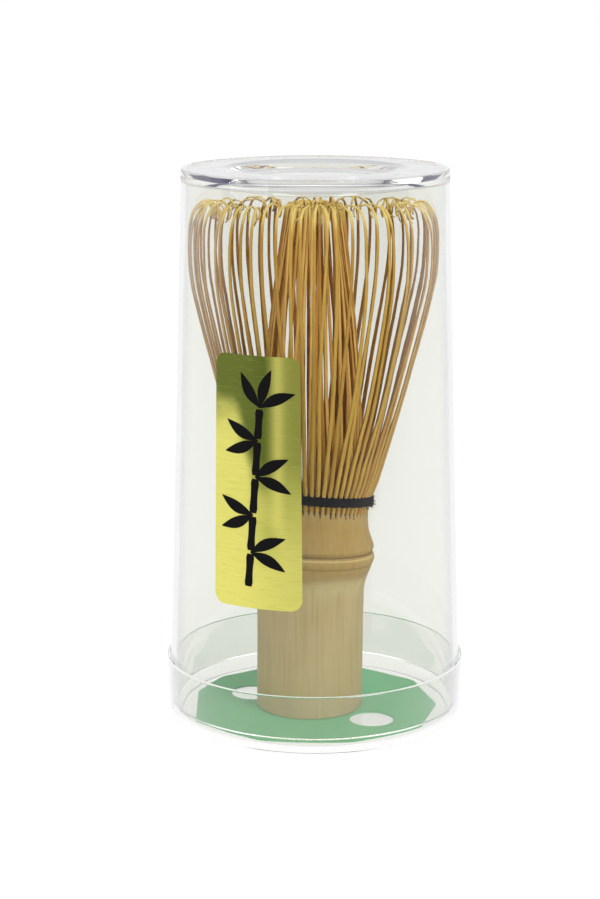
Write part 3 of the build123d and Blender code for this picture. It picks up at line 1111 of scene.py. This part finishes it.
def wind_turns(bm, sizes, tines, pitch):
    """Winds the turns outside the outer tines, pressed in between them, and those outside the inner tines."""
    band_radius = 13.62 * MM

    def outer_turn(level, lift):
        def place(where):
            turn = where * math.tau
            press = 0.10 * MM * math.cos(tines.tine_count * turn)
            radius = band_radius + lift + press
            height = THREAD_BOTTOM + sizes.radius + (level + where) * pitch
            height += 0.06 * MM * math.sin(tines.tine_count * turn * 0.5 + level * 2)
            height += leaning(1.0, turn)
            return Vector((radius * math.cos(turn), radius * math.sin(turn), height))

        return place

    def inner_turn(level):
        def place(where):
            turn = where * math.tau
            radius = tines.inner_root + sizes.radius + 0.2 * MM
            height = THREAD_BOTTOM + sizes.radius + (level + where) * pitch + leaning(1.0, turn)
            return Vector((radius * math.cos(turn), radius * math.sin(turn), height))

        return place

    for level in range(sizes.outer_turns):
        wind(bm, outer_turn(level - 0.25, 0.08 * MM * level), sizes.radius, tines.tine_count * 4)
    for level in range(sizes.inner_turns):
        wind(bm, inner_turn(level), sizes.radius, tines.tine_count * 2)


def loop_between(bm, sizes, tines, pitch, dice):
    """Loops the thread over the band's top edge, between each two outer tines."""
    grain = bm.verts.layers.float_vector["grain"]
    stations = 9
    for number in range(tines.tine_count):
        turn = (number + 0.5) * math.tau / tines.tine_count
        lift = dice.uniform(-0.12, 0.12) * MM
        top = THREAD_BOTTOM + sizes.radius + sizes.outer_turns * pitch + leaning(1.0, turn) + lift
        arch = [
            Vector((14.05 * MM, top - 0.9 * MM)),
            Vector((14.02 * MM, top - 0.2 * MM)),
            Vector((13.6 * MM, top + 0.16 * MM)),
            Vector((12.9 * MM, top + 0.05 * MM)),
            Vector((12.2 * MM, top - 0.5 * MM)),
        ]
        thickness = [0.24 * MM] * stations
        still = [0.0] * stations
        frames = tine_frames(along_curve(arch, stations), still, turn, thickness, thickness, still)
        for ring, index in sweep(bm, round_section(6), frames):
            for vert in ring:
                vert[grain] = (0.0, 0.0, index * 0.2 * MM)


def fray(bm, sizes, dice):
    """Lets loose fibres stand out of the band."""
    for _ in range(sizes.hairs):
        turn = dice.uniform(0, math.tau)
        low = THREAD_BOTTOM + dice.uniform(0.0, 2.6) * MM + leaning(1.0, turn)
        reach = dice.uniform(0.3, 0.9) * MM
        rise = dice.uniform(-0.6, 0.8) * MM
        start = Vector((14.0 * MM, low))
        path = [start, start + Vector((0.6 * reach, 0.4 * rise)), start + Vector((reach, rise))]
        drift = dice.uniform(-0.5, 0.5) * MM
        size = dice.uniform(0.016, 0.03) * MM
        thickness = [size * 2, size * 1.6, size]
        frames = tine_frames(path, [0.0, 0.4 * drift, drift], turn, thickness, thickness, [0.0] * 3)
        sweep(bm, round_section(3), frames)


class WHISK_OT_thread(Operator):
    """Winds the binding thread: turns outside and inside the outer tines, loops between them, loose hairs"""

    bl_idname = "whisk.thread"
    bl_label = "Binding Thread"

    def execute(self, context):
        sizes = context.scene.whisk_thread
        tines = context.scene.whisk_tines
        dice = random.Random(21)
        pitch = 1.72 * sizes.radius
        bm = bmesh.new()
        bm.verts.layers.float_vector.new("grain")
        wind_turns(bm, sizes, tines, pitch)
        loop_between(bm, sizes, tines, pitch, dice)
        fray(bm, sizes, dice)
        piece = finished(bm, "thread_wound", dyed_thread(sizes), 60.0)
        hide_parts("binding_thread")
        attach(piece, "whisk")
        return {"FINISHED"}


# ---------------------------------------------------------------- foil label and print
def wrap_on_cover(bm, lift):
    """Bends a flat sheet, drawn in X and Z with its thickness along Y, round the cover."""
    label = bpy.context.scene.whisk_label
    slope = cover_slope(bpy.context.scene.whisk_case)
    middle = SHOULDER_RADIUS - slope * (LABEL_MIDDLE - SHOULDER_HEIGHT)
    grain = bm.verts.layers.float_vector.new("grain")
    for vert in bm.verts:
        across, proud, height = vert.co
        vert[grain] = (across, proud, height)
        turn = label.azimuth + (across - label.tilt * (height - LABEL_MIDDLE)) / middle
        radius = SHOULDER_RADIUS - slope * (height - SHOULDER_HEIGHT) + lift + proud
        vert.co = (radius * math.cos(turn), radius * math.sin(turn), height)


def cut_upright(bm, half_width, cuts):
    """Cuts a flat sheet into upright strips so that it can bend."""
    for index in range(1, cuts):
        across = -half_width + 2 * half_width * index / cuts
        geometry = list(bm.verts) + list(bm.edges) + list(bm.faces)
        bmesh.ops.bisect_plane(bm, geom=geometry, plane_co=(across, 0, 0), plane_no=(1, 0, 0), dist=1e-7)


def thicken(bm, thickness):
    """Gives flat faces a thickness along Y."""
    grown = bmesh.ops.extrude_face_region(bm, geom=list(bm.faces))["geom"]
    moved = [item for item in grown if isinstance(item, bmesh.types.BMVert)]
    bmesh.ops.translate(bm, verts=moved, vec=(0, thickness, 0))
    bmesh.ops.recalc_face_normals(bm, faces=bm.faces)


class WHISK_OT_label(Operator):
    """Makes the gold foil label, bent round the cover"""

    bl_idname = "whisk.label"
    bl_label = "Foil Label"

    def execute(self, context):
        sizes = context.scene.whisk_label
        half = sizes.width / 2
        bm = bmesh.new()
        corners = [(-half, LABEL_BOTTOM), (half, LABEL_BOTTOM), (half, LABEL_TOP), (-half, LABEL_TOP)]
        bm.faces.new([bm.verts.new((x, 0.0, z)) for x, z in corners])
        bmesh.ops.bevel(
            bm, geom=list(bm.verts), offset=sizes.corner, segments=8, profile=0.5, affect="VERTICES", material=-1
        )
        cut_upright(bm, half, 24)
        thicken(bm, sizes.thickness)
        wrap_on_cover(bm, sizes.glue_gap)
        piece = finished(bm, "label_foil", gold_foil(sizes), 40.0)
        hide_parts("foil_label")
        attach(piece, "case_cover")
        return {"FINISHED"}


# The printed sprig: each joint's height as a share of the label's half height, and its leaves' angles
SPRIG = [
    (-0.84, []),
    (-0.55, [24.0, -26.0]),
    (-0.25, [156.0, 203.0]),
    (0.05, [30.0, -22.0]),
    (0.34, [152.0, 200.0]),
    (0.60, [122.0, 72.0, 22.0]),
]
# Widths along a length of stalk and along a leaf, in millimetres
STALK = [1.45, 1.856, 1.711, 1.595, 1.566, 1.595, 1.711, 1.885, 1.45]
LEAF = [0.3, 0.95, 1.8, 2.35, 2.5, 2.3, 1.75, 1.0, 0.12]


def stroke(bm, start, turn, reach, widths, bowed):
    """A brush stroke: an outline that swells and thins along a straight or bowed line."""
    spin = Matrix.Rotation(-turn, 3, "Y")
    aside = spin @ Vector((0.0, 0.0, 1.0))
    edges = []
    for index, width in enumerate(widths):
        along = index / (len(widths) - 1)
        spot = start + spin @ Vector((reach * along, 0.0, bowed * reach * math.sin(math.pi * along)))
        edges.append(bm.edges.new([bm.verts.new(spot + aside * (side * width * MM)) for side in (-0.5, 0.5)]))
    for pair in zip(edges, edges[1:]):
        bmesh.ops.bridge_loops(bm, edges=pair)


class WHISK_OT_print(Operator):
    """Prints the bamboo sprig on the label as brush strokes"""

    bl_idname = "whisk.label_print"
    bl_label = "Label Print"

    def execute(self, context):
        sizes = context.scene.whisk_label
        bm = bmesh.new()

        def joint(height_share):
            rise = height_share * (LABEL_TOP - LABEL_BOTTOM) / 2
            return Vector((rise * math.tan(sizes.stalk_lean), 0.0, LABEL_MIDDLE + rise))

        for (low, _), (high, _) in zip(SPRIG, SPRIG[1:]):
            foot, head = joint(low), joint(high)
            run = head - foot
            gap = run.normalized() * sizes.joint_gap
            stroke(bm, foot + gap, math.atan2(run.z, run.x), (run - gap * 2).length, STALK, 0.0)
        for height_share, leaves in SPRIG:
            for degrees in leaves:
                stroke(bm, joint(height_share), math.radians(degrees), sizes.leaf_length, LEAF, 0.045)
        thicken(bm, sizes.ink_thickness)
        wrap_on_cover(bm, sizes.glue_gap + sizes.thickness)
        piece = finished(bm, "label_sprig", label_ink(sizes), 40.0)
        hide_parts("label_print")
        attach(piece, "case_cover")
        return {"FINISHED"}


# ---------------------------------------------------------------- stage
EYE_PLACE = Vector((-3.4, -492.0, 171.7)) * MM


def add_lamp(name, place, aim, size, power):
    """A square soft lamp that points at a spot."""
    light = bpy.data.lights.new(name, "AREA")
    light.shape = "SQUARE"
    light.size = size
    light.energy = power
    lamp = bpy.data.objects.new(name, light)
    lamp.location = place
    lamp.visible_transmission = False
    lamp.rotation_euler = (Vector(aim) - Vector(place)).to_track_quat("-Z", "Y").to_euler()
    bpy.context.scene.collection.objects.link(lamp)


def white_surround(sizes):
    """A world that is white to the camera, even on diffuse surfaces, and a dim room with a backdrop in gloss."""
    f = Finish(bpy.data.worlds.new("surround"))
    direction = f.node("ShaderNodeTexCoord", out="Generated")
    backdrop = f.ease(f.part_of(direction, "Y"), 0.5, 0.98)
    overhead = f.ease(f.part_of(direction, "Z"), 0.45, 0.85) * 0.6
    lit = f.lights_diffuse()
    white = f.larger(f.larger(backdrop, overhead), f.larger(1 - f.was_mirrored(), lit))
    tone = f.mix(white, sizes.room, (1.0, 1.0, 1.0))
    strength = 1 - lit * (1 - sizes.sky)
    glow = f.node("ShaderNodeBackground", sockets={"Color": tone, "Strength": strength})
    return f.done(glow, "ShaderNodeOutputWorld")


def pale_floor():
    """A pale floor that glows white to the camera, keeps a soft shadow, and is dim where gloss mirrors its front."""
    f = new_finish("pale_floor")
    card = f.node("ShaderNodeBsdfDiffuse", sockets={"Color": (0.86, 0.86, 0.86)})
    beyond = f.ease(f.part_of(f.place(), "Y"), -0.4, 0.0) * 0.92 + 0.08
    mirrored = f.was_mirrored()
    strength = f.larger(1 - mirrored, beyond) * 1.07
    glow = f.node("ShaderNodeEmission", sockets={"Color": (1, 1, 1), "Strength": strength})
    factor = (mirrored * 0.15 + 0.85) * (1 - f.lights_diffuse())
    return f.done(f.node("ShaderNodeMixShader", sockets={0: factor, 1: card, 2: glow}))


class WHISK_OT_stage(Operator):
    """Sets up the camera, the pale floor, the white surround and the lamps"""

    bl_idname = "whisk.stage"
    bl_label = "Stage"

    def execute(self, context):
        scene = context.scene
        sizes = scene.whisk_stage
        scene.view_settings.view_transform = "Standard"

        eye = bpy.data.cameras.new("camera")
        eye.lens = sizes.lens
        eye.sensor_fit = "VERTICAL"
        eye.sensor_width = eye.sensor_height = 36.0
        camera = bpy.data.objects.new("camera", eye)
        camera.location = EYE_PLACE
        camera.rotation_euler = (math.pi / 2 - sizes.tilt, 0.0, 0.0)
        scene.collection.objects.link(camera)
        scene.camera = camera

        scene.world = white_surround(sizes)

        bm = bmesh.new()
        bmesh.ops.create_grid(bm, x_segments=1, y_segments=1, size=sizes.floor_size / 2)
        floor = finished(bm, "floor", pale_floor())

        middle = (0.0, 0.0, CASE_HEIGHT * 0.45)
        add_lamp("key_lamp", (0.45, -0.62, 0.62), middle, 0.5, sizes.key)
        add_lamp("fill_lamp", (-0.7, -0.45, 0.35), middle, 0.6, sizes.fill)
        add_lamp("top_lamp", (0.0, 0.15, 0.95), middle, 0.7, sizes.top)
        return {"FINISHED"}


# ---------------------------------------------------------------- panel and registration
GROUPS = {
    "whisk_stage": StageSettings,
    "whisk_case": CaseSizes,
    "whisk_card": CardSizes,
    "whisk_culm": CulmSizes,
    "whisk_tines": TineSizes,
    "whisk_thread": ThreadSizes,
    "whisk_label": LabelSizes,
}
STEPS = [
    WHISK_OT_stage,
    WHISK_OT_base_cap,
    WHISK_OT_card,
    WHISK_OT_culm,
    WHISK_OT_outer_tines,
    WHISK_OT_inner_tines,
    WHISK_OT_thread,
    WHISK_OT_cover,
    WHISK_OT_label,
    WHISK_OT_print,
]


class WHISK_PT_panel(Panel):
    """Lists the whisk's settings and the steps that build it"""

    bl_idname = "WHISK_PT_panel"
    bl_label = "Tea Whisk"
    bl_space_type = "VIEW_3D"
    bl_region_type = "UI"
    bl_category = "Tea Whisk"

    def draw(self, context):
        for step in STEPS:
            self.layout.operator(step.bl_idname)
        for name in GROUPS:
            box = self.layout.box()
            settings = getattr(context.scene, name)
            for prop in settings.bl_rna.properties:
                if prop.identifier not in ("rna_type", "name"):
                    box.prop(settings, prop.identifier)


def register():
    """Registers the property groups, operators and panel."""
    for name, group in GROUPS.items():
        bpy.utils.register_class(group)
        setattr(bpy.types.Scene, name, PointerProperty(type=group))
    for step in STEPS:
        bpy.utils.register_class(step)
    bpy.utils.register_class(WHISK_PT_panel)


def unregister():
    """Takes everything back out."""
    bpy.utils.unregister_class(WHISK_PT_panel)
    for step in reversed(STEPS):
        bpy.utils.unregister_class(step)
    for name, group in GROUPS.items():
        delattr(bpy.types.Scene, name)
        bpy.utils.unregister_class(group)


def main():
    """Builds every piece in order."""
    register()
    for step in STEPS:
        family, action = step.bl_idname.split(".")
        getattr(getattr(bpy.ops, family), action)()


if __name__ == "__main__":
    main()
